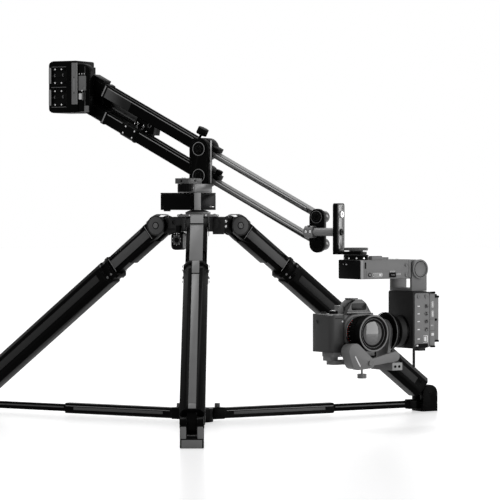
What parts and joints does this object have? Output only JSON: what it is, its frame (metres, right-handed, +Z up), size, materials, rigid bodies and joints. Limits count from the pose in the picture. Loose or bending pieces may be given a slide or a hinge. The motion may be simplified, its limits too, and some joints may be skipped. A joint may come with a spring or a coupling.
{
  "type": "camera jib crane",
  "caption": "Camera jib crane on a three-legged stand with floor spreader, parallelogram arm, battery housing and a pan and tilt head holding a stills camera with focus motor.",
  "frame": {"origin": "on the pan axis at floor level, in the middle of the spreader hub's flat underside", "axes": "+Z up along the pan axis, +X to the right and +Y away from the viewer's side, with the front leg along -Y"},
  "size_m": [1.1086, 0.9621, 0.8118],
  "materials": {
    "black_anodised": "satin black anodised aluminium",
    "silver_anodised": "brushed silver anodised aluminium",
    "grey_anodised": "satin grey anodised aluminium",
    "grey_panel": "fine textured grey housing",
    "black_plastic": "moulded black plastic",
    "black_rubber": "ribbed black rubber",
    "camera_grain": "grained black camera covering"
  },
  "bodies": {
    "root": {"tripod_hub": "black_anodised", "top_plate": "black_anodised", "pan_spindle": "silver_anodised", "spreader_hub": "black_anodised", "control_pod": "black_plastic", "leg_upper_front": "black_anodised", "leg_lower_front": "black_anodised", "foot_front": "black_anodised", "spreader_outer_front": "black_anodised", "spreader_inner_front": "black_anodised", "leg_upper_right": "black_anodised", "leg_lower_right": "black_anodised", "foot_right": "black_anodised", "spreader_outer_right": "black_anodised", "spreader_inner_right": "black_anodised", "leg_upper_left": "black_anodised", "leg_lower_left": "black_anodised", "foot_left": "black_anodised", "spreader_outer_left": "black_anodised", "spreader_inner_left": "black_anodised"},
    "pod_key": {"pod_key": "black_rubber"},
    "pan": {"pan_box": "black_anodised", "pedestal": "silver_anodised", "post": "black_anodised", "upper_pivot_pin": "black_anodised", "lower_pivot_pin": "black_anodised", "lock_bracket": "silver_anodised"},
    "lock_knob": {"lock_knob": "black_rubber"},
    "upper_arm": {"upper_beam": "black_anodised", "upper_bar": "silver_anodised"},
    "upper_clamp_screw": {"upper_clamp_screw": "black_plastic"},
    "lower_arm": {"lower_beam": "black_anodised", "lower_bar": "silver_anodised", "tilt_motor": "black_anodised"},
    "lower_clamp_screw": {"lower_clamp_screw": "black_plastic"},
    "rear": {"nose_housing": "black_anodised", "battery_module": "black_anodised", "battery_plate_lower": "black_plastic", "battery_plate_upper": "black_plastic"},
    "rear_switch": {"rear_switch": "grey_panel"},
    "front": {"front_bracket": "black_anodised", "rod_clamp": "silver_anodised", "offset_rod": "silver_anodised", "head_bracket": "black_anodised"},
    "mount_knob": {"mount_knob": "silver_anodised"},
    "head": {"head_box": "grey_anodised", "yoke": "grey_anodised", "tilt_box": "grey_panel"},
    "camera": {"tilt_rotor": "black_anodised", "cradle": "grey_anodised", "camera_body": "camera_grain", "lens_barrel": "black_plastic", "focus_motor": "grey_anodised"},
    "focus_ring": {"focus_ring": "black_rubber"},
    "focus_gear": {"focus_gear": "black_plastic"},
    "focus_screw": {"focus_screw": "black_plastic"},
    "shutter_button": {"shutter_button": "silver_anodised"},
    "spreader_knob_front": {"spreader_knob_front": "black_plastic"},
    "spreader_knob_right": {"spreader_knob_right": "black_plastic"},
    "spreader_knob_left": {"spreader_knob_left": "black_plastic"}
  },
  "joints": [
    {"name": "pan_turn", "type": "hinge", "parent": "root", "child": "pan", "pos_m": [0, 0, 0.49], "axis": [0, 0, 1], "range_deg": [-22, 14]},
    {"name": "arm_tilt", "type": "hinge", "parent": "pan", "child": "upper_arm", "pos_m": [0.01759, 0.05189, 0.607], "axis": [0.4772, 0.8788, 0], "range_deg": [-46, 10]},
    {"name": "lower_arm_tilt", "type": "hinge", "parent": "pan", "child": "lower_arm", "pos_m": [0.01759, 0.05189, 0.547], "axis": [0.4772, 0.8788, 0], "range_deg": [-46, 10]},
    {"name": "rear_level", "type": "hinge", "parent": "upper_arm", "child": "rear", "pos_m": [-0.24199, 0.19283, 0.76076], "axis": [0.4772, 0.8788, 0], "range_deg": [-10, 46]},
    {"name": "front_level", "type": "hinge", "parent": "upper_arm", "child": "front", "pos_m": [0.2725, -0.08651, 0.45601], "axis": [0.4772, 0.8788, 0], "range_deg": [-10, 46]},
    {"name": "head_pan", "type": "hinge", "parent": "front", "child": "head", "pos_m": [0.34456, -0.16546, 0.37], "axis": [0, 0, 1], "continuous": true},
    {"name": "head_tilt", "type": "hinge", "parent": "head", "child": "camera", "pos_m": [0.41504, -0.11956, 0.2065], "axis": [0.809, 0.5878, 0], "range_deg": [-90, 90]},
    {"name": "focus_turn", "type": "hinge", "parent": "camera", "child": "focus_ring", "pos_m": [0.36278, -0.19054, 0.2075], "axis": [0.5878, -0.809, 0], "range_deg": [-60, 60]},
    {"name": "focus_gear_turn", "type": "hinge", "parent": "camera", "child": "focus_gear", "pos_m": [0.33005, -0.21432, 0.1695], "axis": [0.5878, -0.809, 0], "range_deg": [-130, 130]},
    {"name": "focus_screw_turn", "type": "hinge", "parent": "camera", "child": "focus_screw", "pos_m": [0.35508, -0.22085, 0.133], "axis": [0, 0, 1], "continuous": true},
    {"name": "shutter_press", "type": "slide", "parent": "camera", "child": "shutter_button", "axis": [0, 0, -1], "range_m": [0, 0.0012], "stiffness_N_per_m": 800},
    {"name": "lock_knob_turn", "type": "hinge", "parent": "pan", "child": "lock_knob", "pos_m": [-0.02869, -0.04655, 0.52], "axis": [0, 0, 1], "continuous": true},
    {"name": "upper_clamp_turn", "type": "hinge", "parent": "upper_arm", "child": "upper_clamp_screw", "pos_m": [0.00466, 0.05892, 0.63721], "axis": [0.4058, -0.2203, 0.887], "continuous": true},
    {"name": "lower_clamp_turn", "type": "hinge", "parent": "lower_arm", "child": "lower_clamp_screw", "pos_m": [0.04598, 0.03648, 0.55273], "axis": [0.4058, -0.2203, 0.887], "continuous": true},
    {"name": "mount_knob_turn", "type": "hinge", "parent": "front", "child": "mount_knob", "pos_m": [0.34456, -0.16546, 0.387], "axis": [0, 0, 1], "continuous": true},
    {"name": "rear_switch_slide", "type": "slide", "parent": "rear", "child": "rear_switch", "axis": [0, 0, -1], "range_m": [0, 0.006]},
    {"name": "pod_key_press", "type": "slide", "parent": "root", "child": "pod_key", "axis": [0.5, 0.866, 0], "range_m": [0, 0.001], "stiffness_N_per_m": 500},
    {"name": "spreader_knob_front_turn", "type": "hinge", "parent": "root", "child": "spreader_knob_front", "pos_m": [0, -0.049, 0.034], "axis": [0, 0, 1], "continuous": true},
    {"name": "spreader_knob_right_turn", "type": "hinge", "parent": "root", "child": "spreader_knob_right", "pos_m": [0.04244, 0.0245, 0.034], "axis": [0, 0, 1], "continuous": true},
    {"name": "spreader_knob_left_turn", "type": "hinge", "parent": "root", "child": "spreader_knob_left", "pos_m": [-0.04244, 0.0245, 0.034], "axis": [0, 0, 1], "continuous": true}
  ],
  "couplings": [
    {"joint": "lower_arm_tilt", "follows": "arm_tilt", "ratio": 1},
    {"joint": "rear_level", "follows": "arm_tilt", "ratio": -1},
    {"joint": "front_level", "follows": "arm_tilt", "ratio": -1},
    {"joint": "focus_gear_turn", "follows": "focus_turn", "ratio": -2.125}
  ]
}
